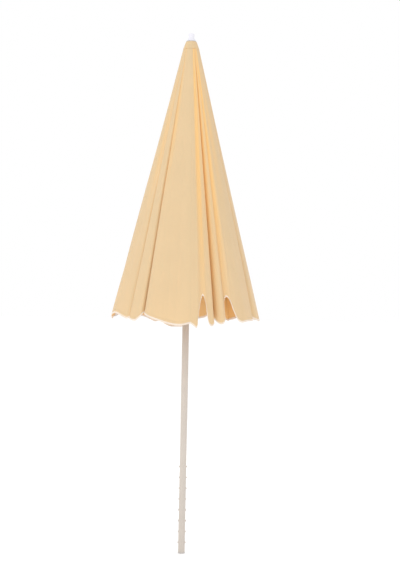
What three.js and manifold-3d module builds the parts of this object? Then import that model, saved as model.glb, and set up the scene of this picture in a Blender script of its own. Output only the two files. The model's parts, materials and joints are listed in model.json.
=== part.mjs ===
// Garden sun umbrella with a two-piece pole, closed and hanging loose.
// Millimetres, +Z up, origin at the centre of the pole's foot. Rib 1 points to -Y.
import * as THREE from 'three';
import { mergeVertices } from 'three/addons/utils/BufferGeometryUtils.js';
import Module from 'manifold-3d';

const wasm = await Module();
wasm.setup();

// driving dimensions
const TOTAL_HEIGHT = 1920;
const RIB_COUNT = 8;
const GAP = 0.3;                 // between pieces that touch
const ROUND = 24;                // sides of a turned piece

const LOWER_POLE_RADIUS = 12.5;
const LOWER_POLE_WALL = 1.2;
const LOWER_POLE_TOP = 940;
const UPPER_POLE_WALL = 1.2;
const SLIP_LENGTH = 90;          // how far the upper pole reaches into the lower one
const FOOT_FLANGE = 4;
const FOOT_RIM = 1.0;            // flange past the pole
const FOOT_PLUG = 20;
const NUB_COUNT = 8;
const NUB_PITCH = 40;
const NUB_RADIUS = 3.2;
const NUB_HEIGHT = 3.0;          // how far a nub stands out of the pole

const CAP_RADIUS = 16;
const CAP_NECK = 10.5;
const CAP_HEIGHT = 27;
const WASHER_RADIUS = 18.5;
const WASHER_THICKNESS = 2.4;

const HUB_BELOW_TOP = 72;        // rib pivots under the top of the cap
const HUB_RADIUS = 20;
const HUB_UP = 10;
const HUB_DOWN = 10;
const HUB_ROOF = 4.5;
const CROWN_PIVOT_RADIUS = 16.5;
const WIRE_RADIUS = 0.9;
const WIRE_CLEARANCE = 0.35;
const SIDE_CLEARANCE = 0.4;      // each side of a blade in its slot

const RIB_LENGTH = 1000;
const RIB_WIDTH = 6;
const RIB_DEPTH = 5;
const RIB_WALL = 0.9;
const RIB_CHANNEL_START = 13;    // the channel begins this far below the pivot
const BLADE_THICKNESS = 2.4;
const FOLDED_ANGLE = 14;         // of a rib from the pole, degrees
const TIP_RADIUS = 5.1;
const TIP_SOCKET = 16;
const TIP_NOSE = 8;

const CLIP_AT = 420;             // strut pivot along the rib
const CLIP_LENGTH = 14;
const CLIP_WALL = 1.2;
const CLIP_OFFSET = 9;           // strut pivot inside the rib's centre line
const PIN_RADIUS = 1.5;
const PIN_CLEARANCE = 0.4;

const STRUT_DEPTH = 4;
const STRUT_WALL = 0.9;
const EAR_LENGTH = 14;

const RUNNER_WALL = 3;
const RUNNER_SLEEVE = 60;        // from the lower pole's top to the strut pivots
const RUNNER_TOP = 12;
const COLLAR_RADIUS = 24;
const COLLAR_HALF = 6;
const RUNNER_PIVOT_RADIUS = 20;
const RUNNER_CLEARANCE = 0.4;
const GRIP_WALL = 2.2;
const GRIP_LENGTH = 15;
const LATCH_WIDTH = 7;
const LATCH_LENGTH = 28;
const LATCH_THICKNESS = 2.6;
const LATCH_DROP = 16;           // latch pivot under the strut pivots
const LATCH_RADIUS = 19.5;

const CLOTH = 1.2;               // thickness of the canopy's plain panels
const RIDGE_OVER_RIB = 8.6;      // canopy's outline past a rib's centre line at the hem
const CANOPY_TOP_RADIUS = 31.2;  // of the folds' outer edges at the panels' top
const RIDGE_GAP = 0.75;          // panel edge from its rib's plane
const PLEAT_GAP = 0.8;           // panel from the plane between two ribs
const VALLEY_SHARE = 0.78;       // where two panels meet, as a share of the outline
const SEAM_TOP_RADIUS = 23;
const SEAM_BOTTOM_RADIUS = 36;
const HEM_SLACK = 12;            // hem past the end of the rib
const HEM_RISE = 92;             // hem at the seam above the hem at the rib
const VALLEY_RISE = 36.8;        // hem where two panels meet above the hem at the rib
const COVER_RIM_UP = 5.3;        // crown cover's rim above the rib pivots
const COVER_RIM_RADIUS = 31.5;

// sizes that follow from them
const SECTOR = 2 * Math.PI / RIB_COUNT;
const FOLDED = THREE.MathUtils.degToRad(FOLDED_ANGLE);
const LOWER_BORE = LOWER_POLE_RADIUS - LOWER_POLE_WALL;
const UPPER_POLE_RADIUS = LOWER_BORE - GAP;
const UPPER_BORE = UPPER_POLE_RADIUS - UPPER_POLE_WALL;
const POLE_TOP = TOTAL_HEIGHT - CAP_HEIGHT - WASHER_THICKNESS - 2 * GAP;
const HUB_Z = TOTAL_HEIGHT - HUB_BELOW_TOP;
const EYE_RADIUS = RIB_DEPTH / 2;
const RUNNER_Z = LOWER_POLE_TOP + GAP + RUNNER_SLEEVE;
const RUNNER_BORE = UPPER_POLE_RADIUS + RUNNER_CLEARANCE;
const SLEEVE_RADIUS = RUNNER_BORE + RUNNER_WALL;
const PANEL_TOP = HUB_Z + COVER_RIM_UP - 2 * GAP;
const HEM_Z = HUB_Z - (RIB_LENGTH + HEM_SLACK) * Math.cos(FOLDED);
const HEM_RADIUS = CROWN_PIVOT_RADIUS + (RIB_LENGTH + HEM_SLACK) * Math.sin(FOLDED) + RIDGE_OVER_RIB;
const OUTLINE = (HEM_RADIUS - CANOPY_TOP_RADIUS) / (PANEL_TOP - HEM_Z);
const CLIP_BACK = RIB_DEPTH / 2 + GAP + CLIP_WALL;
const STRUT_TOP_X = CROWN_PIVOT_RADIUS + CLIP_AT * Math.sin(FOLDED) - CLIP_OFFSET * Math.cos(FOLDED);
const STRUT_TOP_Z = HUB_Z - CLIP_AT * Math.cos(FOLDED) - CLIP_OFFSET * Math.sin(FOLDED);
const STRUT_LENGTH = Math.hypot(STRUT_TOP_X - RUNNER_PIVOT_RADIUS, STRUT_TOP_Z - RUNNER_Z);
const STRUT_LEAN = Math.atan2(STRUT_TOP_X - RUNNER_PIVOT_RADIUS, STRUT_TOP_Z - RUNNER_Z);

const material = (color, roughness, metalness) =>
  new THREE.MeshStandardMaterial({ color, roughness, metalness });
const polePaint = material(0xd9cfc4, 0.45, 0.1);
const steel = material(0xb9bcc0, 0.35, 0.9);
const whitePlastic = material(0xe9e7ec, 0.4, 0);
const greyPlastic = material(0x8f8f92, 0.5, 0);
const canvas = material(0xecd6b0, 0.9, 0);

// A solid from a closed geometry: vertices joined and empty triangles left out.
function solid(geometry) {
  const bare = geometry.clone();
  bare.deleteAttribute('normal');
  bare.deleteAttribute('uv');
  const merged = mergeVertices(bare, 1e-4);
  const index = merged.index.array;
  const faces = [];
  for (let i = 0; i < index.length; i += 3) {
    const [a, b, c] = [index[i], index[i + 1], index[i + 2]];
    if (a !== b && b !== c && c !== a) faces.push(a, b, c);
  }
  return new wasm.Manifold(new wasm.Mesh({
    numProp: 3,
    vertProperties: new Float32Array(merged.attributes.position.array),
    triVerts: new Uint32Array(faces),
  }));
}

function geometryOf(manifold) {
  const mesh = manifold.getMesh();
  const geometry = new THREE.BufferGeometry();
  geometry.setAttribute('position', new THREE.BufferAttribute(mesh.vertProperties, 3));
  geometry.setIndex(new THREE.BufferAttribute(mesh.triVerts, 1));
  return geometry;
}

function joined(...geometries) {
  return geometryOf(geometries.map(solid).reduce((a, b) => a.add(b)));
}

function cut(body, ...tools) {
  return geometryOf(tools.map(solid).reduce((a, b) => a.subtract(b), solid(body)));
}

// A piece turned about Z from a closed profile of [radius, height] points.
function turned(profile, sides = ROUND) {
  const points = profile.map(([r, z]) => new THREE.Vector2(r, z));
  if (profile[0][0] > 0) points.push(points[0].clone());
  return new THREE.LatheGeometry(points, sides).rotateX(Math.PI / 2);
}

function tube(inner, outer, bottom, top) {
  return turned([[inner, bottom], [outer, bottom], [outer, top], [inner, top]]);
}

function box(width, depth, height, x, y, z) {
  return new THREE.BoxGeometry(width, depth, height).translate(x, y, z);
}

// A flat outline drawn in X and Z, with its thickness along Y about y.
function plate(shape, thickness, y = 0) {
  const flat = new THREE.ExtrudeGeometry(shape, {
    depth: thickness, bevelEnabled: false, curveSegments: 8,
  });
  return flat.rotateX(Math.PI / 2).translate(0, y + thickness / 2, 0);
}

// A tab with one round end at x, z, running down by length, with a hole where one is given.
function tab(radius, length, hole = 0) {
  const shape = new THREE.Shape();
  shape.moveTo(-radius, -length);
  shape.lineTo(radius, -length);
  shape.lineTo(radius, 0);
  shape.absarc(0, 0, radius, 0, Math.PI, false);
  shape.closePath();
  if (hole > 0) {
    const round = new THREE.Path();
    round.absarc(0, 0, hole, 0, 2 * Math.PI, true);
    shape.holes.push(round);
  }
  return shape;
}

// A U-shaped channel hanging from z = top to z = bottom, its back towards +X.
function channel(width, depth, wall, top, bottom) {
  const height = top - bottom;
  const middle = (top + bottom) / 2;
  const outer = box(depth, width, height, 0, 0, middle);
  const inner = box(depth, width - 2 * wall, height + 2, -wall, 0, middle);
  return cut(outer, inner);
}

function pin(radius, length, x, z) {
  return new THREE.CylinderGeometry(radius, radius, length, 12).translate(x, 0, z);
}

function lowerPole() {
  let body = solid(tube(LOWER_BORE, LOWER_POLE_RADIUS, FOOT_FLANGE + GAP, LOWER_POLE_TOP));
  const root = LOWER_POLE_RADIUS - LOWER_POLE_WALL / 2;
  const reach = LOWER_POLE_RADIUS + NUB_HEIGHT;
  for (let i = 1; i <= NUB_COUNT; i += 1) {
    for (const side of [-1, 1]) {
      const nub = new THREE.CylinderGeometry(NUB_RADIUS * 0.6, NUB_RADIUS, reach - root, 8);
      nub.rotateZ(-side * Math.PI / 2).translate(side * (root + reach) / 2, 0, i * NUB_PITCH);
      body = body.add(solid(nub));
    }
  }
  return geometryOf(body);
}

function footCap() {
  const rim = LOWER_POLE_RADIUS + FOOT_RIM;
  const plug = LOWER_BORE - GAP;
  return turned([
    [0, 0], [rim - 1, 0], [rim, 1], [rim, FOOT_FLANGE], [plug, FOOT_FLANGE],
    [plug, FOOT_FLANGE + FOOT_PLUG], [0, FOOT_FLANGE + FOOT_PLUG],
  ]);
}

function finialCap() {
  const plug = UPPER_BORE - GAP;
  const bottom = TOTAL_HEIGHT - CAP_HEIGHT;
  return turned([
    [0, POLE_TOP - FOOT_PLUG], [plug, POLE_TOP - FOOT_PLUG], [plug, bottom],
    [CAP_RADIUS, bottom], [CAP_RADIUS, bottom + 2.5], [CAP_RADIUS - 3, bottom + 6.5],
    [CAP_NECK, bottom + 12], [CAP_NECK + 0.7, TOTAL_HEIGHT - 6],
    [CAP_NECK - 0.8, TOTAL_HEIGHT - 1.6], [CAP_NECK - 3.5, TOTAL_HEIGHT],
    [0, TOTAL_HEIGHT],
  ]);
}

function capWasher() {
  const bottom = POLE_TOP + GAP;
  return tube(UPPER_BORE, WASHER_RADIUS, bottom, bottom + WASHER_THICKNESS);
}

// Cone of canvas over the hub, which stays with the crown while the ribs open under it.
function crownCover() {
  const rim = HUB_Z + COVER_RIM_UP;
  return turned([
    [COVER_RIM_RADIUS - CLOTH, rim], [COVER_RIM_RADIUS, rim],
    [WASHER_RADIUS, POLE_TOP], [WASHER_RADIUS - CLOTH, POLE_TOP],
  ]);
}

function crownHub() {
  const bottom = HUB_Z - HUB_DOWN;
  const top = HUB_Z + HUB_UP;
  let body = solid(tube(UPPER_POLE_RADIUS + GAP, HUB_RADIUS, bottom, top));
  const slotFloor = CROWN_PIVOT_RADIUS - EYE_RADIUS - SIDE_CLEARANCE;
  const slotWidth = BLADE_THICKNESS + 2 * SIDE_CLEARANCE;
  const slotHeight = HUB_UP + HUB_DOWN - HUB_ROOF + 1;
  for (let k = 0; k < RIB_COUNT; k += 1) {
    const slot = box(HUB_RADIUS, slotWidth, slotHeight,
      slotFloor + HUB_RADIUS / 2, 0, bottom - 1 + slotHeight / 2);
    body = body.subtract(solid(slot.rotateZ(k * SECTOR)));
  }
  return geometryOf(body.subtract(solid(ring(WIRE_RADIUS + WIRE_CLEARANCE))));
}

function ring(wire) {
  return new THREE.TorusGeometry(CROWN_PIVOT_RADIUS, wire, 6, 4 * RIB_COUNT)
    .translate(0, 0, HUB_Z);
}

function rib() {
  const blade = plate(tab(EYE_RADIUS, RIB_CHANNEL_START + 20, WIRE_RADIUS + WIRE_CLEARANCE),
    BLADE_THICKNESS);
  return joined(channel(RIB_WIDTH, RIB_DEPTH, RIB_WALL, -RIB_CHANNEL_START, -RIB_LENGTH), blade);
}

function ribTip() {
  const top = -RIB_LENGTH + TIP_SOCKET;
  const nose = -RIB_LENGTH - TIP_NOSE;
  const body = turned([
    [0, nose], [TIP_RADIUS * 0.6, nose + 1], [TIP_RADIUS, nose + 4], [TIP_RADIUS, top], [0, top],
  ], 16);
  const socket = box(RIB_DEPTH + 2 * GAP, RIB_WIDTH + 2 * GAP, TIP_SOCKET + GAP + 1,
    0, 0, top + 1 - (TIP_SOCKET + GAP + 1) / 2);
  return cut(body, socket);
}

function ribClip() {
  const width = RIB_WIDTH + 2 * (GAP + CLIP_WALL);
  const sleeve = box(2 * CLIP_BACK, width, CLIP_LENGTH, 0, 0, -CLIP_AT);
  const socket = box(RIB_DEPTH + 2 * GAP, RIB_WIDTH + 2 * GAP, CLIP_LENGTH + 2, 0, 0, -CLIP_AT);
  const reach = CLIP_OFFSET - CLIP_BACK + CLIP_WALL;
  const shape = tab(PIN_RADIUS + 1.2, reach);
  const lug = plate(shape, BLADE_THICKNESS).rotateY(-Math.PI / 2)
    .translate(-CLIP_OFFSET, 0, -CLIP_AT);
  const length = BLADE_THICKNESS + 2 * (SIDE_CLEARANCE + STRUT_WALL + GAP);
  return joined(cut(sleeve, socket), lug, pin(PIN_RADIUS, length, -CLIP_OFFSET, -CLIP_AT));
}

// Strut hanging from its upper pivot: two ears, a channel and a flat blade at the runner.
function strut() {
  const width = BLADE_THICKNESS + 2 * (SIDE_CLEARANCE + STRUT_WALL);
  const ear = (side) => plate(tab(STRUT_DEPTH / 2 + 1, EAR_LENGTH, PIN_RADIUS + PIN_CLEARANCE),
    STRUT_WALL, side * (width - STRUT_WALL) / 2);
  const foot = plate(tab(STRUT_DEPTH / 2 + 1, 3 * EAR_LENGTH), BLADE_THICKNESS)
    .rotateX(Math.PI).translate(0, 0, -STRUT_LENGTH);
  const bar = channel(width, STRUT_DEPTH, STRUT_WALL,
    -EAR_LENGTH + 4, -STRUT_LENGTH + EAR_LENGTH);
  return joined(bar, ear(1), ear(-1), foot);
}

function runner() {
  const low = LOWER_POLE_TOP + GAP;
  const sleeve = turned([
    [RUNNER_BORE, low], [SLEEVE_RADIUS, low], [SLEEVE_RADIUS, RUNNER_Z - COLLAR_HALF],
    [COLLAR_RADIUS, RUNNER_Z - COLLAR_HALF], [COLLAR_RADIUS, RUNNER_Z + COLLAR_HALF],
    [SLEEVE_RADIUS, RUNNER_Z + COLLAR_HALF], [SLEEVE_RADIUS, RUNNER_Z + RUNNER_TOP],
    [RUNNER_BORE, RUNNER_Z + RUNNER_TOP],
  ]);
  let body = solid(sleeve);
  const floor = RUNNER_PIVOT_RADIUS - STRUT_DEPTH / 2 - 1 - SIDE_CLEARANCE;
  const slot = () => box(COLLAR_RADIUS, BLADE_THICKNESS + 4 * SIDE_CLEARANCE,
    2 * COLLAR_HALF + 2, floor + COLLAR_RADIUS / 2, 0, RUNNER_Z);
  for (let k = 0; k < RIB_COUNT; k += 1) {
    body = body.subtract(solid(slot().rotateZ(k * SECTOR)));
  }
  const earHeight = 2 * PIN_RADIUS + 5;
  for (const side of [-1, 1]) {
    const y = side * (LATCH_WIDTH / 2 + SIDE_CLEARANCE + 1);
    const reach = LATCH_RADIUS + PIN_RADIUS + 1.5 - RUNNER_BORE - 1;
    const ear = box(reach, 2, earHeight, RUNNER_BORE + 1 + reach / 2, y, RUNNER_Z - LATCH_DROP);
    body = body.add(solid(ear.rotateZ(SECTOR / 2)));
  }
  const hole = pin(PIN_RADIUS + PIN_CLEARANCE, LATCH_WIDTH + 10, LATCH_RADIUS,
    RUNNER_Z - LATCH_DROP);
  return geometryOf(body.subtract(solid(hole.rotateZ(SECTOR / 2))));
}

function runnerGrip() {
  const low = LOWER_POLE_TOP + GAP + 1.5;
  const inner = SLEEVE_RADIUS + GAP;
  const outer = inner + GRIP_WALL;
  return turned([
    [inner, low], [outer - 0.8, low], [outer, low + 1.5], [outer, low + GRIP_LENGTH - 1.5],
    [outer - 0.8, low + GRIP_LENGTH], [inner, low + GRIP_LENGTH],
  ]);
}

function runnerLatch() {
  const middle = RUNNER_Z - LATCH_DROP;
  const lever = box(LATCH_THICKNESS, LATCH_WIDTH, LATCH_LENGTH, LATCH_RADIUS, 0, middle - 6);
  const length = LATCH_WIDTH + 2 * (SIDE_CLEARANCE + 2 + GAP);
  return joined(lever, pin(PIN_RADIUS, length, LATCH_RADIUS, middle)).rotateZ(SECTOR / 2);
}

// One half of a gore as a thin folded plate, from its rib to the seam between two ribs.
// side is 1 for the half that lies counterclockwise of the rib and -1 for the other.
function halfGore(side) {
  const across = SECTOR / 2;
  const radial = new THREE.Vector2(Math.cos(across), Math.sin(across));
  const inward = new THREE.Vector2(-radial.y, radial.x).multiplyScalar(-PLEAT_GAP);
  const outlineAt = (z) => CANOPY_TOP_RADIUS + (PANEL_TOP - z) * OUTLINE;
  const onPleat = (radius) => radial.clone().multiplyScalar(radius).add(inward);
  const route = (ridgeZ, valleyZ, seamZ, seamRadius) => [
    [new THREE.Vector2(outlineAt(ridgeZ), RIDGE_GAP), ridgeZ],
    [onPleat(outlineAt(valleyZ) * VALLEY_SHARE), valleyZ],
    [onPleat(seamRadius), seamZ],
  ];
  const levels = [
    route(PANEL_TOP, PANEL_TOP, PANEL_TOP, SEAM_TOP_RADIUS),
    route(HEM_Z, HEM_Z + VALLEY_RISE, HEM_Z + HEM_RISE, SEAM_BOTTOM_RADIUS),
  ];
  const positions = [];
  for (const level of levels) {
    const [a, b, c] = level.map(([p]) => p);
    const first = b.clone().sub(a).normalize();
    const second = c.clone().sub(b).normalize();
    const normals = [first, first.clone().add(second).normalize(), second]
      .map((d) => new THREE.Vector2(-d.y, d.x));
    const mitre = 1 / normals[1].dot(new THREE.Vector2(-first.y, first.x));
    for (const face of [-1, 1]) {
      level.forEach(([p, z], i) => {
        const push = face * CLOTH / 2 * (i === 1 ? mitre : 1);
        const q = p.clone().addScaledVector(normals[i], push);
        positions.push(q.x, side * q.y, z);
      });
    }
  }
  const loop = [0, 1, 2, 5, 4, 3];
  const faces = [];
  for (let i = 0; i < 6; i += 1) {
    const a = loop[i];
    const b = loop[(i + 1) % 6];
    faces.push([a, a + 6, b], [b, a + 6, b + 6]);
  }
  for (const i of [0, 1]) {
    faces.push([i, i + 1, i + 3], [i + 1, i + 4, i + 3]);
    faces.push([i + 6, i + 9, i + 7], [i + 7, i + 9, i + 10]);
  }
  const order = side > 0 ? faces : faces.map(([a, b, c]) => [a, c, b]);
  const geometry = new THREE.BufferGeometry();
  geometry.setAttribute('position', new THREE.Float32BufferAttribute(positions, 3));
  geometry.setIndex(order.flat());
  return geometry;
}

const umbrella = new THREE.Group();

function add(parent, name, geometry, finish) {
  const mesh = new THREE.Mesh(geometry, finish);
  mesh.name = name;
  parent.add(mesh);
  return mesh;
}

// A turned group whose +X points away from the pole through rib k.
function spoke(k) {
  const group = new THREE.Group();
  group.rotation.z = k * SECTOR - Math.PI / 2;
  umbrella.add(group);
  return group;
}

add(umbrella, 'lower_pole', lowerPole(), polePaint);
add(umbrella, 'foot_cap', footCap(), greyPlastic);
add(umbrella, 'upper_pole', tube(UPPER_BORE, UPPER_POLE_RADIUS,
  LOWER_POLE_TOP - SLIP_LENGTH, POLE_TOP), polePaint);
add(umbrella, 'crown_hub', crownHub(), whitePlastic);
add(umbrella, 'crown_ring', ring(WIRE_RADIUS), steel);
add(umbrella, 'crown_cover', crownCover(), canvas);
add(umbrella, 'cap_washer', capWasher(), greyPlastic);
add(umbrella, 'finial_cap', finialCap(), whitePlastic);
add(umbrella, 'runner', runner(), whitePlastic).rotation.z = -Math.PI / 2;
add(umbrella, 'runner_grip', runnerGrip(), greyPlastic);
add(umbrella, 'runner_latch', runnerLatch(), greyPlastic).rotation.z = -Math.PI / 2;

const ribShape = rib();
const tipShape = ribTip();
const clipShape = ribClip();
const strutShape = strut();
const halfShapes = [[1, halfGore(1), 'right'], [-1, halfGore(-1), 'left']];
for (let k = 0; k < RIB_COUNT; k += 1) {
  const group = spoke(k);
  const hanging = new THREE.Group();
  hanging.position.set(CROWN_PIVOT_RADIUS, 0, HUB_Z);
  hanging.rotation.y = -FOLDED;
  group.add(hanging);
  add(hanging, `rib_${k + 1}`, ribShape, steel);
  add(hanging, `rib_tip_${k + 1}`, tipShape, whitePlastic);
  add(hanging, `rib_clip_${k + 1}`, clipShape, steel);

  const arm = add(group, `strut_${k + 1}`, strutShape, steel);
  arm.position.set(STRUT_TOP_X, 0, STRUT_TOP_Z);
  arm.rotation.y = STRUT_LEAN;
  for (const [, shape, name] of halfShapes) {
    add(group, `canopy_${name}_${k + 1}`, shape, canvas);
  }
}

export default umbrella;
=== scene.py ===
"""Closed garden sun umbrella: an add-on that is also run as a script."""
import json
import math

import bpy
import numpy as np
from mathutils import Matrix, Vector, noise


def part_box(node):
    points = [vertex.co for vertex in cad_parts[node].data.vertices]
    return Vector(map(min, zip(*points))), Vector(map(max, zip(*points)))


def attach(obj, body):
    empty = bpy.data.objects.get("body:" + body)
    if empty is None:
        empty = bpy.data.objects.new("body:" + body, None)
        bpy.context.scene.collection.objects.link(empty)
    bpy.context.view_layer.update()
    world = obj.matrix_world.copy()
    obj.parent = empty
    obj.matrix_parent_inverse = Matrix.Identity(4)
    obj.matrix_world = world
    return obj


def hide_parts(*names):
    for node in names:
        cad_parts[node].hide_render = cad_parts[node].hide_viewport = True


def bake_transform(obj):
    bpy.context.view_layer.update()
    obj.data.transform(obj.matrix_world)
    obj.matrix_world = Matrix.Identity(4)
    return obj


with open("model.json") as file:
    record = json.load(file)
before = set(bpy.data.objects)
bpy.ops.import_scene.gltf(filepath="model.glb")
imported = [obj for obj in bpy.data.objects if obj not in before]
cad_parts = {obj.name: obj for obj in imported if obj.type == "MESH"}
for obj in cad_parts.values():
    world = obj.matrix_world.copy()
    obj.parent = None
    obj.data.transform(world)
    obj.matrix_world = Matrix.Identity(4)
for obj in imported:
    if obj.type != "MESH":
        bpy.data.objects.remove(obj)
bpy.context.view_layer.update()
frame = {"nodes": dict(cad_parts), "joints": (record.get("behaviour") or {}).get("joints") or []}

bl_info = {
    "name": "Garden sun umbrella",
    "version": (1, 0, 0),
    "blender": (4, 5, 0),
    "location": "3D View > Sidebar > Umbrella",
    "description": "Builds the canopy, pole and finishes of a closed sun umbrella round its frame",
    "category": "Object",
}

JOINTS = {joint["name"]: joint for joint in frame["joints"]}
RIBS = sum(name.startswith("rib_hinge_") for name in JOINTS)
SECTOR = 2 * math.pi / RIBS
# metres: the folded hem's reach, the cloth's top above the frame's panels so that it ends
# under the crown cover, and how far its outer and inner folds stand from the pole up there
HEM_RADIUS = 0.270
CLOTH_RISE = 0.0073
CLOTH_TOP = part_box("canopy_right_1")[1].z + CLOTH_RISE
TOP_OUTER = 0.0294
TOP_INNER = 0.0210
CROWN_RIM = 0.0296
# metres from the hem to its row of stitches, and half that row's width
STITCH_ROW = 0.0125
STITCH_HALF_WIDTH = 0.0007


class CanopySizes(bpy.types.PropertyGroup):
    """Sizes of the canopy's cloth."""

    cloth: bpy.props.FloatProperty(
        name="Cloth", description="Thickness of the canvas", default=0.0009, unit="LENGTH")
    binding: bpy.props.FloatProperty(
        name="Binding", description="Width of the tape along the hem", default=0.0056,
        unit="LENGTH")
    binding_thickness: bpy.props.FloatProperty(
        name="Tape thickness", description="Thickness of the folded tape with the hem in it",
        default=0.0024, unit="LENGTH")
    columns: bpy.props.IntProperty(
        name="Columns", description="Mesh columns over each half gore", default=72)
    rows: bpy.props.IntProperty(
        name="Rows", description="Mesh rows from the crown to the hem", default=56)
    ripple: bpy.props.FloatProperty(
        name="Ripple", description="Depth of the soft ripples near the hem", default=0.0050,
        unit="LENGTH")
    flat_width: bpy.props.FloatProperty(
        name="Half gore width", description="Width of a half gore at its hem, laid flat",
        default=0.372, unit="LENGTH")
    flat_length: bpy.props.FloatProperty(
        name="Gore length", description="Length of a gore along its rib, laid flat",
        default=1.03, unit="LENGTH")


class Finishes(bpy.types.PropertyGroup):
    """Colours of the umbrella's finishes."""

    canvas: bpy.props.FloatVectorProperty(
        name="Canvas", description="Colour of the canvas", subtype="COLOR",
        default=(0.820, 0.660, 0.405))
    # painted glow: this colour is painted into deep folds and onto the cloth's inner side, in base
    # colour and as emission; it also tints the translucent shading
    canvas_glow: bpy.props.FloatVectorProperty(
        name="Deep folds", description="Colour of canvas lit through several layers",
        subtype="COLOR", default=(0.88, 0.60, 0.26))
    tape: bpy.props.FloatVectorProperty(
        name="Hem tape", description="Colour of the binding tape", subtype="COLOR",
        default=(0.88, 0.76, 0.64))
    pole: bpy.props.FloatVectorProperty(
        name="Pole", description="Colour of the pole's paint", subtype="COLOR",
        default=(0.60, 0.54, 0.48))
    cap: bpy.props.FloatVectorProperty(
        name="Cap", description="Colour of the finial cap", subtype="COLOR",
        default=(0.80, 0.79, 0.85))


def sizes():
    return bpy.context.scene.canopy_sizes


def finishes():
    return bpy.context.scene.umbrella_finishes


# ---------------------------------------------------------------- materials


class Value:
    """A number that runs through a material's nodes, with the usual operators."""

    def __init__(self, maker, socket):
        self.maker = maker
        self.socket = socket

    def _math(self, operation, *others):
        node = self.maker.node("ShaderNodeMath", {"operation": operation})
        for socket, value in zip(node.inputs, others):
            self.maker.plug(socket, value)
        return Value(self.maker, node.outputs[0])

    def __add__(self, other):
        return self._math("ADD", self, other)

    def __radd__(self, other):
        return self._math("ADD", other, self)

    def __sub__(self, other):
        return self._math("SUBTRACT", self, other)

    def __rsub__(self, other):
        return self._math("SUBTRACT", other, self)

    def __mul__(self, other):
        return self._math("MULTIPLY", self, other)

    def __rmul__(self, other):
        return self._math("MULTIPLY", other, self)

    def __pow__(self, other):
        return self._math("POWER", self, other)

    def clamped(self):
        return self._math("MAXIMUM", self._math("MINIMUM", self, 1.0), 0.0)


class Finish:
    """One material and the few ways of adding nodes to it."""

    def __init__(self, name):
        self.material = bpy.data.materials.new(name)
        self.material.use_nodes = True
        self.nodes = self.material.node_tree.nodes
        self.links = self.material.node_tree.links
        self.shader = self.nodes["Principled BSDF"]

    def plug(self, socket, value):
        if isinstance(value, Value):
            value = value.socket
        if isinstance(value, bpy.types.NodeSocket):
            self.links.new(value, socket)
        else:
            socket.default_value = value

    def node(self, kind, settings=None, **values):
        made = self.nodes.new(kind)
        for key, value in (settings or {}).items():
            setattr(made, key, value)
        for key, value in values.items():
            self.plug(made.inputs[key.replace("_", " ")], value)
        return made

    def value(self, node, output="Fac"):
        return Value(self, node.outputs[output])

    def place(self):
        return self.node("ShaderNodeTexCoord").outputs["Object"]

    def grain(self, scale, detail=3.0, roughness=0.5, vector=None):
        made = self.node("ShaderNodeTexNoise", None, Vector=vector or self.place(),
                         Scale=scale, Detail=detail, Roughness=roughness)
        return self.value(made)

    def mixed(self, factor, first, second):
        made = self.node("ShaderNodeMix", {"data_type": "RGBA"})
        self.plug(made.inputs[0], factor)
        for socket, colour in ((made.inputs[6], first), (made.inputs[7], second)):
            self.plug(socket, colour if isinstance(colour, bpy.types.NodeSocket)
                      else (*tuple(colour)[:3], 1.0))
        return made.outputs[2]

    def bump(self, height, strength, distance):
        made = self.node("ShaderNodeBump", None, Strength=strength, Distance=distance)
        self.plug(made.inputs["Height"], height)
        self.plug(self.shader.inputs["Normal"], made.outputs[0])

    def set(self, **values):
        for key, value in values.items():
            self.plug(self.shader.inputs[key.replace("_", " ")], value)
        return self


def scaled(colour, factor):
    return tuple(min(channel * factor, 1.0) for channel in tuple(colour)[:3])


def thread_lines(finish, pitch):
    """Warp and weft as two crossing sine waves over the cloth's own map, in metres."""
    over = finish.node("ShaderNodeUVMap", {"uv_map": "ClothMap"})
    split = finish.node("ShaderNodeSeparateXYZ", None, Vector=over.outputs[0])
    waves = []
    for axis in ("X", "Y"):
        turns = Value(finish, split.outputs[axis]) * (2 * math.pi / pitch)
        waves.append(turns._math("SINE", turns))
    return waves[0] * waves[1], Value(finish, split.outputs["X"]), Value(finish, split.outputs["Y"])


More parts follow.
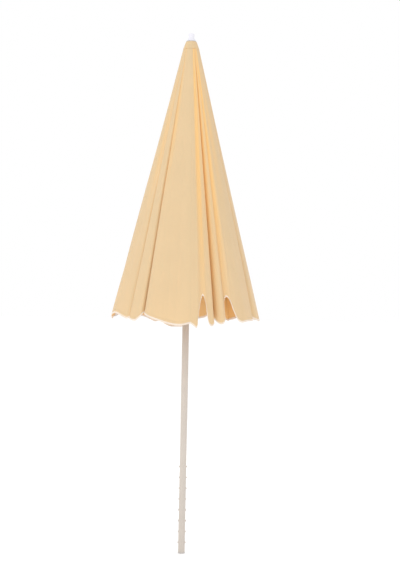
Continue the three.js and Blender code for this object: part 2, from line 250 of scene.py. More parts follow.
def canvas_finish(name):
    """Woven canvas: thread bump, slubs, faint weathering and a painted warm glow, in base colour
    and emission, where layers lie deep.
    """
    finish = Finish(name)
    colours = finishes()
    weave, _, along = thread_lines(finish, 0.0016)
    cloud = finish.grain(7.0, 4.0, 0.55)
    slub = finish.grain(220.0, 2.0, 0.6)
    base = finish.mixed((cloud * 1.6 - 0.3).clamped(), scaled(colours.canvas, 0.955),
                        scaled(colours.canvas, 1.035))
    base = finish.mixed((slub * 0.35).clamped(), base, scaled(colours.canvas, 0.90))
    # painted glow: the mask from the mesh lifts the base colour towards the glow colour in deep
    # folds and on the inner side
    deep = finish.value(finish.node("ShaderNodeAttribute", {"attribute_name": "painted_glow"}))
    base = finish.mixed((deep * (0.75 + 0.35 * cloud)).clamped(), base, colours.canvas_glow)
    # painted glow: the same mask as faint emission, so deep folds shine without a lamp
    painted_glow_emission = finish.mixed(deep.clamped(), (0.0, 0.0, 0.0), colours.canvas_glow)
    finish.set(Emission_Color=painted_glow_emission, Emission_Strength=0.13)
    stitch = finish.node("ShaderNodeMath", {"operation": "COMPARE"})
    finish.plug(stitch.inputs[0], along)
    stitch.inputs[1].default_value = STITCH_ROW
    stitch.inputs[2].default_value = STITCH_HALF_WIDTH
    base = finish.mixed(Value(finish, stitch.outputs[0]) * 0.35, base,
                        scaled(colours.canvas, 0.72))
    finish.set(Base_Color=base, Roughness=0.88 + 0.08 * cloud, Sheen_Weight=0.25,
               Sheen_Roughness=0.5, Specular_IOR_Level=0.25)
    finish.bump(weave * 0.5 + slub * 0.7 + cloud * 0.8, 0.25, 0.0012)
    through = finish.node("ShaderNodeBsdfTranslucent")
    through.inputs["Color"].default_value = (*scaled(colours.canvas_glow, 1.08), 1.0)
    both = finish.node("ShaderNodeMixShader")
    both.inputs[0].default_value = 0.22
    finish.links.new(finish.shader.outputs[0], both.inputs[1])
    finish.links.new(through.outputs[0], both.inputs[2])
    finish.links.new(both.outputs[0], finish.nodes["Material Output"].inputs[0])
    return finish.material


def tape_finish():
    """Binding tape: a close woven rib, with a little dirt."""
    finish = Finish("hem_tape")
    colours = finishes()
    weave, _, _ = thread_lines(finish, 0.0022)
    dirt = finish.grain(30.0, 3.0, 0.6)
    base = finish.mixed((dirt * 1.4 - 0.2).clamped(), scaled(colours.tape, 0.93),
                        scaled(colours.tape, 1.04))
    finish.set(Base_Color=base, Roughness=0.8 + 0.1 * dirt, Sheen_Weight=0.2,
               Specular_IOR_Level=0.25)
    finish.bump(weave + dirt * 0.4, 0.35, 0.0008)
    return finish.material


def paint_finish():
    """Satin enamel on tube: faint orange peel, a little grime low down and rubbed spots."""
    finish = Finish("ivory_paint")
    colours = finishes()
    height = finish.node("ShaderNodeSeparateXYZ", None, Vector=finish.place()).outputs["Z"]
    grime = finish.grain(18.0, 5.0, 0.65)
    low = (1.0 - Value(finish, height) * 3.2).clamped()
    base = finish.mixed((grime * 1.8 - 0.65).clamped() * 0.5, colours.pole,
                        scaled(colours.pole, 0.86))
    base = finish.mixed(low * (grime * 0.6), base, scaled(colours.pole, 0.80))
    finish.set(Base_Color=base, Roughness=0.36 + 0.18 * grime, Coat_Roughness=0.25,
               Coat_Weight=0.18)
    finish.bump(finish.grain(420.0, 2.0), 0.10, 0.0005)
    return finish.material


def plastic_finish(name, colour, roughness, scuffed=0.12):
    """Moulded plastic: fine grain, slight mottling and duller scuffs."""
    finish = Finish(name)
    mottle = finish.grain(45.0, 4.0, 0.6)
    scuff = finish.grain(260.0, 3.0, 0.7)
    base = finish.mixed((mottle * 1.5 - 0.25).clamped(), scaled(colour, 0.94),
                        scaled(colour, 1.03))
    finish.set(Base_Color=base, Roughness=roughness + scuffed * scuff)
    finish.bump(scuff * 0.6 + mottle, 0.12, 0.0004)
    return finish.material


def steel_finish():
    """Galvanised strip: spangle in the zinc and streaks along the rolled length."""
    finish = Finish("galvanised_steel")
    spangle = finish.node("ShaderNodeTexVoronoi", {"feature": "F1"}, Vector=finish.place(),
                          Scale=140.0)
    cells = finish.value(spangle, "Distance")
    streak = finish.grain(60.0, 4.0, 0.6)
    base = finish.mixed((cells * 1.2).clamped(), (0.62, 0.63, 0.65), (0.47, 0.48, 0.50))
    base = finish.mixed((streak - 0.45).clamped() * 0.8, base, (0.40, 0.38, 0.36))
    finish.set(Base_Color=base, Metallic=0.9, Roughness=0.30 + 0.25 * streak)
    finish.bump(streak, 0.08, 0.0003)
    return finish.material


def wear(piece, material):
    piece.data.materials.clear()
    piece.data.materials.append(material)
    return piece


# ---------------------------------------------------------------- turned pieces


def tidy_place(piece):
    """Moves a finished piece's place into its mesh."""
    bpy.ops.object.transform_apply(location=True, rotation=True, scale=True)
    return piece


def turned(name, steps, sides=96, smooth_degrees=35):
    """A solid of revolution: a disc extruded and resized through (radius, height) steps."""
    bpy.ops.object.select_all(action="DESELECT")
    radius, height = steps[0]
    bpy.ops.mesh.primitive_circle_add(vertices=sides, radius=radius, fill_type="NGON",
                                      location=(0, 0, height))
    piece = bpy.context.object
    piece.name = name
    tidy_place(piece)
    bpy.ops.object.mode_set(mode="EDIT")
    bpy.ops.mesh.select_all(action="SELECT")
    for next_radius, next_height in steps[1:]:
        bpy.ops.mesh.extrude_region_move(
            TRANSFORM_OT_translate={"value": (0, 0, next_height - height)})
        share = next_radius / radius
        bpy.ops.transform.resize(value=(share, share, 1), center_override=(0, 0, next_height))
        radius, height = next_radius, next_height
    bpy.ops.mesh.select_all(action="SELECT")
    bpy.ops.mesh.remove_doubles(threshold=1e-6)
    bpy.ops.mesh.normals_make_consistent(inside=False)
    bpy.ops.object.mode_set(mode="OBJECT")
    bpy.ops.object.shade_smooth_by_angle(angle=math.radians(smooth_degrees))
    return piece


def rounded(radius, height, fillet, sign, steps=5):
    """Points of a quarter-round edge that ends a wall (sign 1) or starts one (sign -1)."""
    angles = [math.pi / 2 * i / steps for i in range(steps + 1)]
    if sign < 0:
        angles.reverse()
    return [(radius - fillet * (1 - math.cos(a)), height - sign * fillet * (1 - math.sin(a)))
            for a in angles]


def united(body, tool):
    """Adds tool to body with a boolean modifier, and removes tool."""
    bpy.ops.object.select_all(action="DESELECT")
    body.select_set(True)
    bpy.context.view_layer.objects.active = body
    change = body.modifiers.new("join", "BOOLEAN")
    change.operation = "UNION"
    change.object = tool
    bpy.ops.object.modifier_apply(modifier=change.name)
    bpy.data.objects.remove(tool)
    return body


class UMBRELLA_OT_pole(bpy.types.Operator):
    """Two-piece pole with its paired nubs and foot cap"""

    bl_idname = "umbrella.pole"
    bl_label = "Pole"

    def execute(self, context):
        paint = paint_finish()
        low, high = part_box("lower_pole")
        outer = high.y
        bore = outer - 0.0012
        shell = turned("lower_pole_tube", [
            (bore, low.z), *rounded(outer, low.z, 0.0004, -1, 3),
            *rounded(outer, high.z, 0.0005, 1, 3), (bore, high.z), (bore, high.z - 0.12),
        ])
        reach = high.x - outer
        nub_sizes = (0.0032, 0.0030, 0.0022, 0.0010)
        count = 8
        pitch = 0.040
        for row in range(1, count + 1):
            for side in (-1, 1):
                nub = turned("nub", [
                    (0.0034, outer - 0.0009), *[
                        (size, outer + reach * share)
                        for size, share in zip(nub_sizes, (0.05, 0.6, 0.9, 1.0))],
                ], sides=20, smooth_degrees=60)
                nub.data.transform(Matrix.Translation((0, 0, row * pitch))
                                   @ Matrix.Rotation(side * math.pi / 2, 4, "Y"))
                shell = united(shell, nub)
        shell.name = "lower_pole_tube"
        bpy.ops.object.shade_smooth_by_angle(angle=math.radians(35))
        wear(shell, paint)
        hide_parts("lower_pole")
        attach(shell, "lower_pole")

        low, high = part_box("upper_pole")
        outer = high.x
        upper = turned("upper_pole_tube", [
            (outer - 0.0012, low.z), *rounded(outer, low.z, 0.0004, -1, 3),
            *rounded(outer, high.z, 0.0004, 1, 3), (outer - 0.0012, high.z),
            (outer - 0.0012, high.z - 0.03),
        ])
        wear(upper, paint)
        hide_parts("upper_pole")
        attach(upper, "upper_pole")

        low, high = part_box("foot_cap")
        rim = high.x
        flange = 0.004
        foot = turned("foot_plug", [
            (rim - 0.0035, low.z), *rounded(rim, low.z, 0.0012, -1),
            *rounded(rim, low.z + flange, 0.0008, 1), (bore - 0.0003, low.z + flange),
            *rounded(bore - 0.0003, high.z, 0.0015, 1),
        ])
        wear(foot, plastic_finish("foot_plastic", (0.62, 0.60, 0.58), 0.5))
        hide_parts("foot_cap")
        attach(foot, "lower_pole")
        return {"FINISHED"}


class UMBRELLA_OT_finial(bpy.types.Operator):
    """White cap with its waisted neck, and the washer under it"""

    bl_idname = "umbrella.finial"
    bl_label = "Finial cap"

    def execute(self, context):
        low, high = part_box("finial_cap")
        plug = 0.0095
        bottom = high.z - 0.027
        skirt = high.x
        neck = 0.0105
        cap = turned("cap", [
            (plug * 0.8, low.z), (plug, low.z + 0.002), (plug, bottom),
            *rounded(skirt, bottom, 0.0008, -1), (skirt, bottom + 0.0022),
            (skirt - 0.0012, bottom + 0.0038), (skirt - 0.0030, bottom + 0.0062),
            (neck + 0.0008, bottom + 0.0098), (neck, bottom + 0.0125),
            (neck + 0.0002, bottom + 0.0165), (neck + 0.0007, high.z - 0.0060),
            *rounded(neck + 0.0007, high.z, 0.0042, 1, 8), (0.0035, high.z - 0.0001),
            (0.0030, high.z - 0.0008), (0.0012, high.z - 0.0009),
        ])
        wear(cap, plastic_finish("cap_plastic", finishes().cap, 0.32))
        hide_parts("finial_cap")
        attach(cap, "upper_pole")

        low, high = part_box("cap_washer")
        washer = turned("cap_washer_ring", [
            (plug + 0.0004, low.z), *rounded(high.x, low.z, 0.0008, -1),
            *rounded(high.x, high.z, 0.0008, 1), (plug + 0.0004, high.z),
        ])
        wear(washer, plastic_finish("washer_plastic", (0.66, 0.65, 0.67), 0.5))
        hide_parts("cap_washer")
        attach(washer, "upper_pole")
        return {"FINISHED"}


# ---------------------------------------------------------------- canopy


def turn_about(points, joint, angle):
    """Points turned about a joint's axis. angle may be one number or one for each point."""
    pivot = np.array(joint["pos_m"])
    axis = np.array(joint["axis"])
    axis = axis / np.linalg.norm(axis)
    arm = points - pivot
    angle = np.asarray(angle, float)[..., None]
    along = (arm @ axis)[..., None] * axis
    return (pivot + arm * np.cos(angle) + np.cross(axis, arm) * np.sin(angle)
            + along * (1 - np.cos(angle)))


def smooth_route(points, count):
    """An even run of count points along a centripetal spline through the given ones."""
    points = np.array(points, float)
    gaps = np.linalg.norm(np.diff(points[:, :2], axis=0), axis=1) ** 0.5
    knots = np.concatenate([[0], np.cumsum(gaps)])
    wide = np.vstack([2 * points[0] - points[1], points, 2 * points[-1] - points[-2]])
    knots = np.concatenate([[2 * knots[0] - knots[1]], knots, [2 * knots[-1] - knots[-2]]])
    fine = []
    for k in range(1, len(wide) - 2):
        t0, t1, t2, t3 = knots[k - 1:k + 3]
        p0, p1, p2, p3 = wide[k - 1:k + 3]
        for x in np.linspace(t1, t2, 16, endpoint=k == len(wide) - 3):
            a1 = ((t1 - x) * p0 + (x - t0) * p1) / (t1 - t0)
            a2 = ((t2 - x) * p1 + (x - t1) * p2) / (t2 - t1)
            a3 = ((t3 - x) * p2 + (x - t2) * p3) / (t3 - t2)
            b1 = ((t2 - x) * a1 + (x - t0) * a2) / (t2 - t0)
            b2 = ((t3 - x) * a2 + (x - t1) * a3) / (t3 - t1)
            fine.append(((t2 - x) * b1 + (x - t1) * b2) / (t2 - t1))
    fine = np.array(fine)
    run = np.concatenate([[0], np.cumsum(np.linalg.norm(np.diff(fine, axis=0), axis=1))])
    even = np.linspace(0, run[-1], count)
    return np.stack([np.interp(even, run, fine[:, i]) for i in range(fine.shape[1])], 1)


# How a half gore hangs at its hem, from its rib to the seam between two ribs: degrees round
# the pole from the rib, distance from the pole as a share of the hem's radius, and the
# height of the hem in metres.
SEAM = [(22.15, 0.55, 0.936), (22.2, 0.34, 0.948), (22.25, 0.1293, 0.958)]
TUCK = [(21.9, 0.66, 0.925), (19.0, 0.60, 0.936), (14.5, 0.63, 0.940), (11.5, 0.59, 0.944),
        (14.5, 0.52, 0.948), (19.5, 0.45, 0.951), (21.9, 0.33, 0.954), (22.25, 0.1293, 0.958)]
HANGS = {
    "plain": [(0, 1.003, 0.862), (5, 0.99, 0.868), (10.5, 0.965, 0.874), (15.5, 0.925, 0.886),
              (19.3, 0.855, 0.898), (21.4, 0.755, 0.905), *TUCK],
    "tucked": [(0, 1.003, 0.862), (5, 0.99, 0.860), (9.5, 0.94, 0.876), (12, 0.84, 0.905),
               (14.2, 0.85, 0.900), (17.5, 0.92, 0.868), (20.3, 0.86, 0.880),
               (21.7, 0.72, 0.900), *SEAM],
    "corner": [(0, 1.005, 0.858), (2.5, 1.006, 0.850), (5.0, 0.998, 0.843),
               (5.7, 0.980, 0.868), (7.0, 0.945, 0.905), (8.9, 0.89, 0.940),
               (11.0, 0.86, 0.957), (12.5, 0.88, 0.940), (13.8, 0.925, 0.895),
               (15.1, 0.955, 0.860), (17.3, 0.962, 0.848), (19.8, 0.935, 0.854),
               (21.3, 0.85, 0.872), (21.95, 0.70, 0.884), (22.15, 0.55, 0.876),
               (22.2, 0.34, 0.872), (22.25, 0.1333, 0.884)],
    "arch": [(0, 1.003, 0.862), (3.0, 0.998, 0.864), (5.6, 0.985, 0.876), (8.2, 0.955, 0.908),
             (10.4, 0.915, 0.940), (12.0, 0.872, 0.953), (13.3, 0.87, 0.938),
             (14.6, 0.91, 0.893), (16.7, 0.955, 0.862), (19.3, 0.935, 0.855),
             (21.2, 0.84, 0.870), (21.95, 0.72, 0.884), (20.5, 0.655, 0.878),
             (16.5, 0.68, 0.869), (12.8, 0.65, 0.880), (14.5, 0.57, 0.900),
             (19.5, 0.47, 0.890), (21.9, 0.33, 0.876), (22.25, 0.1333, 0.884)],
    "wide": [(0, 1.005, 0.858), (8, 0.995, 0.850), (17, 0.988, 0.855), (26, 0.986, 0.867),
             (32, 0.985, 0.876), (35.6, 0.973, 0.883), (37.8, 0.947, 0.888),
             (38.7, 0.912, 0.893), (38.4, 0.882, 0.901), (35.5, 0.865, 0.912),
             (31, 0.83, 0.925), (26, 0.73, 0.935), (24.0, 0.57, 0.942), (23.1, 0.40, 0.948),
             (22.7, 0.27, 0.953), (22.25, 0.1293, 0.958)],
    "under": [(0, 1.003, 0.862), (2.2, 1.0, 0.868), (4.2, 0.985, 0.876), (5.2, 0.955, 0.886),
              (5.6, 0.91, 0.893), (5.8, 0.84, 0.905), (6.4, 0.73, 0.920), (7.8, 0.61, 0.932),
              (9.0, 0.62, 0.936), (10.4, 0.72, 0.932), (12.0, 0.74, 0.932),
              (13.8, 0.63, 0.938), (15.0, 0.50, 0.944), (17.0, 0.46, 0.946),
              (19.0, 0.36, 0.950), (21.2, 0.21, 0.954), (22.25, 0.1293, 0.958)],
    "under_left": [(0, 1.003, 0.862), (4, 1.0, 0.863), (6.8, 0.986, 0.868), (8.0, 0.955, 0.872),
                   (8.5, 0.91, 0.880), (8.7, 0.84, 0.895), (9.2, 0.74, 0.915),
                   (10.4, 0.63, 0.930), (11.8, 0.64, 0.934), (13.2, 0.73, 0.934),
                   (14.6, 0.66, 0.938), (15.4, 0.52, 0.944), (17.0, 0.46, 0.946),
                   (19.0, 0.36, 0.950), (21.2, 0.21, 0.954), (22.25, 0.1293, 0.958)],
    "left_tip": [(0, 1.003, 0.862), (4, 1.008, 0.866), (9, 1.0, 0.868), (14, 0.98, 0.872),
                 (18, 0.955, 0.878), (20.5, 0.92, 0.883), (21.6, 0.87, 0.890),
                 (21.95, 0.78, 0.905), *TUCK],
    "sweep": [(0, 1.003, 0.862), (6, 1.005, 0.874), (14, 1.0, 0.885), (22, 0.993, 0.882),
              (29, 0.990, 0.872), (33.0, 0.979, 0.868), (35.1, 0.952, 0.873),
              (35.9, 0.916, 0.882), (35.5, 0.885, 0.895), (33, 0.865, 0.910),
              (29, 0.82, 0.925), (25.6, 0.72, 0.935), (24.0, 0.57, 0.942),
              (23.1, 0.40, 0.948), (22.7, 0.27, 0.953), (22.25, 0.1293, 0.958)],
    "right_tip": [(0, 1.003, 0.862), (5, 0.997, 0.866), (10.5, 0.97, 0.866), (15.5, 0.93, 0.874),
                  (19.3, 0.86, 0.888), (21.4, 0.755, 0.900), *TUCK],
    "back_low": [(0, 1.032, 0.828), (5, 1.015, 0.828), (10, 0.965, 0.829), (15, 0.93, 0.837),
                 (19.3, 0.87, 0.849), (21.3, 0.775, 0.868), *TUCK],
    "back_end": [(0, 1.003, 0.862), (6, 0.995, 0.870), (12, 0.975, 0.865), (16, 0.94, 0.856),
                 (19.3, 0.88, 0.849), (21.3, 0.775, 0.864), *TUCK],
    "back_high": [(0, 1.032, 0.828), (4, 1.010, 0.842), (8, 0.98, 0.864), (12.5, 0.95, 0.872),
                  (17, 0.91, 0.870), (20.3, 0.83, 0.882), (21.6, 0.72, 0.898), *TUCK],
    "smooth": [(0, 1.003, 0.862), (6, 1.0, 0.866), (12.5, 0.995, 0.866), (18, 0.983, 0.868),
               (20.6, 0.957, 0.874), (21.6, 0.91, 0.882), (21.95, 0.80, 0.893), *TUCK],
    "smooth_low": [(0, 1.003, 0.862), (6, 1.0, 0.866), (12.5, 0.995, 0.866), (18, 0.983, 0.868),
                   (20.6, 0.957, 0.874), (21.6, 0.91, 0.880), (21.95, 0.80, 0.880),
                   (21.9, 0.68, 0.872), (19.0, 0.62, 0.865), (14.5, 0.64, 0.864),
                   (11.0, 0.60, 0.872), (14.5, 0.52, 0.905), (19.5, 0.45, 0.935),
                   (21.9, 0.33, 0.950), (22.25, 0.1293, 0.958)],
}
# soft dents beside the folds: degrees from -Y to +X, half width, depth as a share of the
# distance from the pole, and how far down from the crown
DENTS = ((-61, 5.5, 0.055, 0.36), (-34, 4.5, 0.05, 0.28), (15, 3.0, 0.025, 0.25),
         (45, 5.0, 0.03, 0.30), (130, 6.0, 0.04, 0.35), (-110, 6.0, 0.05, 0.40),
         (-160, 5.0, 0.04, 0.30))
# degrees round the crown, from -Y to +X, at which folds run up into its cover
CROWN_CREASES = (9.5, 22.5, 35, 68, 111, 128, 158, 190, 204, 250, 306, 321)

# which hang the right and the left half on each rib takes, from the front rib round to +X
ARRANGEMENT = [
    ("corner", "wide"), ("smooth_low", "arch"), ("right_tip", "smooth"), ("tucked", "plain"),
    ("back_low", "back_high"), ("plain", "back_end"), ("sweep", "left_tip"),
    ("under", "under_left"),
]


def column_weights(route, rib_hinge, cloth_hinge):
    """How far each column of a half gore turns with its seam, so that it opens flat."""
    opened = math.radians(rib_hinge["range_deg"][1])
    full = math.radians(cloth_hinge["range_deg"][1])
    tries = np.linspace(0, 1, 201)
    start = turn_about(route[0], rib_hinge, opened)
    end = turn_about(turn_about(route[-1], cloth_hinge, full), rib_hinge, opened)
    weights = []
    for i, point in enumerate(route):
        share = i / (len(route) - 1)
        wanted = start * (1 - share) + end * share
        many = np.repeat(point[None], len(tries), 0)
        places = turn_about(turn_about(many, cloth_hinge, tries * full), rib_hinge, opened)
        weights.append(tries[np.argmin(np.linalg.norm(places - wanted, axis=1))])
    weights = np.array(weights)
    for _ in range(len(route) // 3):
        weights[1:-1] = (weights[:-2] + 2 * weights[1:-1] + weights[2:]) / 4
    weights[0] = 0
    weights[-1] = 1
    return weights


def hanging_cloth(hang, rib, side):
    """Grid of points of one half gore, with the painted glow mask of its folds and its flat map in
    metres.
    """
    columns, rows = sizes().columns, sizes().rows
    rib_angle = (rib - 1) * SECTOR
    outline = []
    for degrees, share, height in HANGS[hang]:
        angle = rib_angle + side * math.radians(degrees)
        outline.append((HEM_RADIUS * share * math.sin(angle),
                        -HEM_RADIUS * share * math.cos(angle), height))
    hem = smooth_route(outline, columns)
    reach = np.linalg.norm(hem[:, :2], axis=1)
    share = np.clip(reach / HEM_RADIUS, 0, 1)
    top_reach = TOP_INNER + (TOP_OUTER - TOP_INNER) * share
    top = np.column_stack([hem[:, :2] / reach[:, None] * top_reach[:, None],
                           np.full(columns, CLOTH_TOP)])
    down = np.linspace(0, 1, rows) ** 0.92
    grid = top[None] * (1 - down[:, None, None]) + hem[None] * down[:, None, None]
    run = np.concatenate([[0], np.cumsum(np.linalg.norm(np.diff(hem, axis=0), axis=1))])
    out = hem[:, :2] / reach[:, None]
    free = np.clip((share - 0.72) / 0.25, 0, 1)
    edge = np.clip(run / 0.02, 0, 1) * np.clip((run[-1] - run) / 0.03, 0, 1)
    seed = rib * 3.7 + side * 1.3
    for r in range(rows):
        swell = down[r] ** 1.3
        for c in range(columns):
            soft = noise.noise(Vector((run[c] * 13.0, down[r] * 1.7, seed)))
            fine = noise.noise(Vector((run[c] * 42.0, down[r] * 3.1, seed + 9.0)))
            push = sizes().ripple * swell * (soft * 1.5 + fine * 0.5) * free[c] * edge[c]
            grid[r, c, :2] += out[c] * push
    # painted glow: the mask rises where the hem draws in towards the pole, standing in for light
    # through several layers, and fades towards the hem
    starts = 0.982 - 0.02 * down
    painted_glow_mask = np.clip((starts[:, None] - share[None]) / (0.05 + 0.05 * down[:, None]), 0, 1)
    painted_glow_mask *= 1 - 0.7 * np.clip((down[:, None] - 0.45) / 0.5, 0, 1) ** 1.5
    around = np.degrees(np.arctan2(hem[:, 0], -hem[:, 1]))
    for degrees, width, deep, middle in DENTS:
        away = (around - degrees + 180) % 360 - 180
        dent = (np.exp(-(away / width) ** 2) * np.clip((share - 0.9) / 0.05, 0, 1))[None]
        dent = dent * np.exp(-((down[:, None] - middle) / 0.20) ** 2)
        grid[..., :2] *= 1 - deep * dent[..., None]
        # each dent also adds painted glow
        painted_glow_mask = np.clip(painted_glow_mask + 0.55 * dent, 0, 1)
    flat_u = np.repeat(run[None], rows, 0) * down[:, None]
    drop = np.linalg.norm(hem - top, axis=1)
    flat_v = (1 - down[:, None]) * drop[None]
    return grid, painted_glow_mask, flat_u, flat_v


def cloth_mesh(name, grid, painted_glow_mask, weights, flat_u, flat_v, side, thickness):
    """A grid of points as a cloth piece with thickness, its map and its two attributes, the painted
    glow mask and the unfold weights.
    """
    rows, columns = grid.shape[:2]
    faces = []
    for r in range(rows - 1):
        for c in range(columns - 1):
            a = r * columns + c
            corners = (a, a + columns, a + columns + 1, a + 1)
            faces.append(corners if side > 0 else corners[::-1])
    mesh = bpy.data.meshes.new(name)
    mesh.from_pydata([tuple(p) for p in grid.reshape(-1, 3)], [], faces)
    piece = bpy.data.objects.new(name, mesh)
    bpy.context.scene.collection.objects.link(piece)
    for label, values in (("painted_glow", painted_glow_mask), ("unfold", weights)):
        made = mesh.attributes.new(label, "FLOAT", "POINT")
        spread = np.broadcast_to(values, (rows, columns)).astype(np.float32)
        made.data.foreach_set("value", spread.ravel())
    layer = mesh.uv_layers.new(name="ClothMap")
    places = np.stack([flat_u.ravel(), flat_v.ravel()], 1)
    used = np.zeros(len(mesh.loops), np.int32)
    mesh.loops.foreach_get("vertex_index", used)
    layer.data.foreach_set("uv", places[used].ravel())
    bpy.ops.object.select_all(action="DESELECT")
    piece.select_set(True)
    bpy.context.view_layer.objects.active = piece
    wall = piece.modifiers.new("wall", "SOLIDIFY")
    wall.thickness = thickness
    wall.offset = 0
    bpy.ops.object.modifier_apply(modifier=wall.name)
    bpy.ops.object.shade_smooth_by_angle(angle=math.radians(70))
    paint_glow_inside(piece, rows * columns, columns)
    return piece


def paint_glow_inside(piece, count, columns):
    """Paints the side of a sheet that faces the pole with full glow, standing in for light that
    reaches it through the cloth.
    """
    mesh = piece.data
    places = np.zeros(len(mesh.vertices) * 3, np.float32)
    mesh.vertices.foreach_get("co", places)
    places = places.reshape(-1, 3)
    edge = slice(count - columns, count - columns + 3)
    reach = np.linalg.norm(places[:, :2], axis=1)
    inner = slice(0, count) if reach[edge].sum() < reach[count:][edge].sum() else slice(count, None)
    layer = mesh.attributes["painted_glow"].data
    values = np.zeros(len(mesh.vertices), np.float32)
    layer.foreach_get("value", values)
    # painted glow: full mask on the inner side
    values[inner] = 1.0
    layer.foreach_set("value", values)


def bend_with_cloth(piece):
    """Reads the unfold weights that a piece's columns carry, though nothing uses them, and bakes
    the piece's place into its mesh.
    """
    weights = np.zeros(len(piece.data.vertices), np.float32)
    piece.data.attributes["unfold"].data.foreach_get("value", weights)
    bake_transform(piece)


class UMBRELLA_OT_canopy(bpy.types.Operator):
    """Sixteen half gores of canvas, hanging in folds, each with its taped hem"""

    bl_idname = "umbrella.canopy"
    bl_label = "Canopy"

    def execute(self, context):
        canvas = canvas_finish("canopy_canvas")
        tape = tape_finish()
        size = sizes()
        for rib, hangs in enumerate(ARRANGEMENT, 1):
            for side, word, hang in ((1, "right", hangs[0]), (-1, "left", hangs[1])):
                node = f"canopy_{word}_{rib}"
                grid, painted_glow_mask, flat_u, flat_v = hanging_cloth(hang, rib, side)
                weights = column_weights(grid[-1], JOINTS[f"rib_hinge_{rib}"],
                                         JOINTS[f"cloth_{word}_{rib}"])
                cloth = cloth_mesh(f"cloth_{word}_{rib}", grid, painted_glow_mask, weights,
                                   flat_u, flat_v, side, size.cloth)
                wear(cloth, canvas)
                last = grid[-1]
                step = (grid[-2] - last) / np.linalg.norm(grid[-2] - last, axis=1)[:, None]
                strips = [last + step * size.binding * share
                          for share in (1.0, 0.9, 0.5, 0.1, -0.1)]
                band = np.array(strips)
                band_v = np.array([[s] * grid.shape[1] for s in (0.010, 0.009, 0.005, 0.001, 0)])
                band_u = np.repeat(flat_u[-1:], 5, 0)
                hem = cloth_mesh(f"hem_{word}_{rib}", band, painted_glow_mask[-1], weights, band_u, band_v,
                                 side, size.binding_thickness)
                wear(hem, tape)
                for piece in (cloth, hem):
                    bend_with_cloth(piece)
                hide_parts(node)
        return {"FINISHED"}


class UMBRELLA_OT_crown(bpy.types.Operator):
    """Cone of canvas over the hub, fluted where the folds begin"""

    bl_idname = "umbrella.crown"
    bl_label = "Crown cover"

    def execute(self, context):
        _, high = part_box("crown_cover")
        rows, columns = 16, 289
        angles = np.linspace(0, 2 * math.pi, columns)
        down = np.linspace(0, 1, rows)
        dent = np.zeros(columns)
        for degrees in CROWN_CREASES:
            away = (np.degrees(angles) - degrees + 180) % 360 - 180
            dent += np.exp(-(away / 3.4) ** 2)
        grid = np.zeros((rows, columns, 3))
        steps = (0, 0.08, 0.16, 1)
        for r, t in enumerate(down):
            reach = np.interp(t, steps, (0.0165, 0.0186, 0.0203, CROWN_RIM)) - 0.0010 * t * dent
            grid[r, :, 0] = reach * np.sin(angles)
            grid[r, :, 1] = -reach * np.cos(angles)
            grid[r, :, 2] = np.interp(t, steps, (high.z, high.z - 0.0006, high.z - 0.003,
                                                 CLOTH_TOP + 0.0007))
        flat_u = np.repeat((angles * high.x)[None], rows, 0) * down[:, None]
        flat_v = 0.02 + (1 - down[:, None]) * 0.05 * np.ones((rows, columns))
        # painted glow: the crown's creases get part of the glow mask, stronger downwards
        painted_glow_mask = 0.55 * down[:, None] * np.clip(dent, 0, 1)[None]
        cover = cloth_mesh("crown_cone", grid, painted_glow_mask, np.zeros(columns), flat_u, flat_v, 1,
                           sizes().cloth)
        bpy.ops.object.mode_set(mode="EDIT")
        bpy.ops.mesh.select_all(action="SELECT")
        bpy.ops.mesh.remove_doubles(threshold=2e-5)
        bpy.ops.object.mode_set(mode="OBJECT")
        wear(cover, canvas_finish("crown_canvas"))
        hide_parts("crown_cover")
        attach(cover, "upper_pole")
        return {"FINISHED"}


class UMBRELLA_OT_mechanism(bpy.types.Operator):
    """Finishes for the hub, ribs, struts, runner and latch"""

    bl_idname = "umbrella.mechanism"
    bl_label = "Mechanism finishes"

    def execute(self, context):
        white = plastic_finish("hub_plastic", (0.80, 0.79, 0.80), 0.38)
        grey = plastic_finish("grip_plastic", (0.36, 0.36, 0.38), 0.55)
        steel = steel_finish()
        wanted = {"crown_hub": white, "runner": white, "rib_tip": white, "runner_grip": grey,
                  "runner_latch": grey, "crown_ring": steel, "rib": steel, "rib_clip": steel,
                  "strut": steel}
        for name, node in frame["nodes"].items():
            kind = name.rstrip("0123456789").rstrip("_")
            if kind in wanted:
                wear(node, wanted[kind])
        return {"FINISHED"}


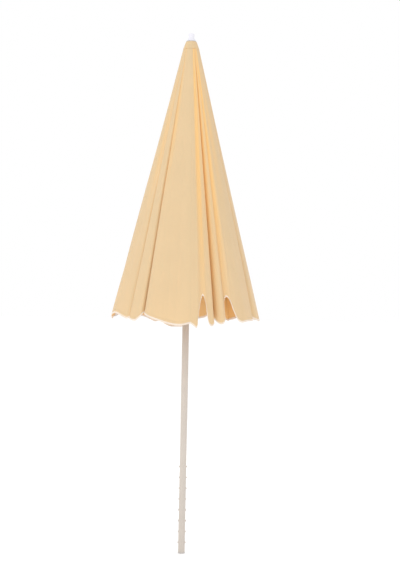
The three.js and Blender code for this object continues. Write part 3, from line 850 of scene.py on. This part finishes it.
class UMBRELLA_OT_stage(bpy.types.Operator):
    """Pale floor, soft studio light and the camera"""

    bl_idname = "umbrella.stage"
    bl_label = "Stage"

    def execute(self, context):
        scene = context.scene
        bpy.ops.object.select_all(action="DESELECT")
        bpy.ops.mesh.primitive_plane_add(size=60, location=(0, 0, -0.0005))
        floor = context.object
        floor.name = "floor"
        tidy_place(floor)
        paper = Finish("floor_paper")
        shade = paper.grain(0.6, 2.0)
        paper.set(Base_Color=paper.mixed(shade, (0.90, 0.90, 0.90), (0.94, 0.94, 0.94)),
                  Roughness=0.95, Specular_IOR_Level=0.1)
        paper.set(Emission_Color=(1.0, 1.0, 1.0, 1.0), Emission_Strength=0.14)
        wear(floor, paper.material)

        world = bpy.data.worlds.new("studio")
        scene.world = world
        world.use_nodes = True
        world.node_tree.nodes["Background"].inputs[0].default_value = (1.0, 1.0, 1.0, 1.0)
        world.node_tree.nodes["Background"].inputs[1].default_value = 1.0
        for place, power, size in (((-2.6, -3.4, 3.0), 34, 2.4), ((3.0, -2.0, 2.0), 4, 2.6),
                                   ((0.6, 3.6, 2.4), 30, 2.4)):
            lamp = bpy.data.lights.new("softbox", "AREA")
            lamp.energy = power
            lamp.size = size
            holder = bpy.data.objects.new("softbox", lamp)
            holder.location = place
            aim = Vector((0, 0, 1.1)) - Vector(place)
            holder.rotation_euler = aim.to_track_quat("-Z", "Y").to_euler()
            scene.collection.objects.link(holder)
        scene.view_settings.view_transform = "Standard"

        distance = 4.5
        azimuth = math.radians(-4)
        roll = math.radians(1.13)
        middle = 0.992
        aside = 0.0496
        tall = 2.107
        lens = bpy.data.cameras.new("camera")
        lens.sensor_fit = "VERTICAL"
        lens.sensor_height = 36
        lens.lens = lens.sensor_height * distance / tall
        camera = bpy.data.objects.new("camera", lens)
        away = Vector((math.sin(azimuth), -math.cos(azimuth), 0))
        right = Vector((math.cos(azimuth), math.sin(azimuth), 0))
        spin = Matrix.Rotation(azimuth, 4, "Z") @ Matrix.Rotation(math.pi / 2, 4, "X")
        place = away * distance + right * aside + Vector((0, 0, middle))
        camera.matrix_world = Matrix.Translation(place) @ spin @ Matrix.Rotation(roll, 4, "Z")
        scene.collection.objects.link(camera)
        scene.camera = camera
        return {"FINISHED"}


class UMBRELLA_PT_panel(bpy.types.Panel):
    """Lists the umbrella's pieces in build order"""

    bl_label = "Sun umbrella"
    bl_space_type = "VIEW_3D"
    bl_region_type = "UI"
    bl_category = "Umbrella"

    def draw(self, context):
        for operator in OPERATORS:
            self.layout.operator(operator.bl_idname)
        for group in (context.scene.canopy_sizes, context.scene.umbrella_finishes):
            for key in group.__annotations__:
                self.layout.prop(group, key)


OPERATORS = (UMBRELLA_OT_stage, UMBRELLA_OT_pole, UMBRELLA_OT_finial, UMBRELLA_OT_canopy,
             UMBRELLA_OT_crown, UMBRELLA_OT_mechanism)
CLASSES = (CanopySizes, Finishes, *OPERATORS, UMBRELLA_PT_panel)


def register():
    for cls in CLASSES:
        bpy.utils.register_class(cls)
    bpy.types.Scene.canopy_sizes = bpy.props.PointerProperty(type=CanopySizes)
    bpy.types.Scene.umbrella_finishes = bpy.props.PointerProperty(type=Finishes)


def unregister():
    del bpy.types.Scene.umbrella_finishes
    del bpy.types.Scene.canopy_sizes
    for cls in reversed(CLASSES):
        bpy.utils.unregister_class(cls)


def main():
    register()
    bpy.ops.umbrella.stage()
    bpy.ops.umbrella.pole()
    bpy.ops.umbrella.finial()
    bpy.ops.umbrella.canopy()
    bpy.ops.umbrella.crown()
    bpy.ops.umbrella.mechanism()


if __name__ == "__main__":
    main()
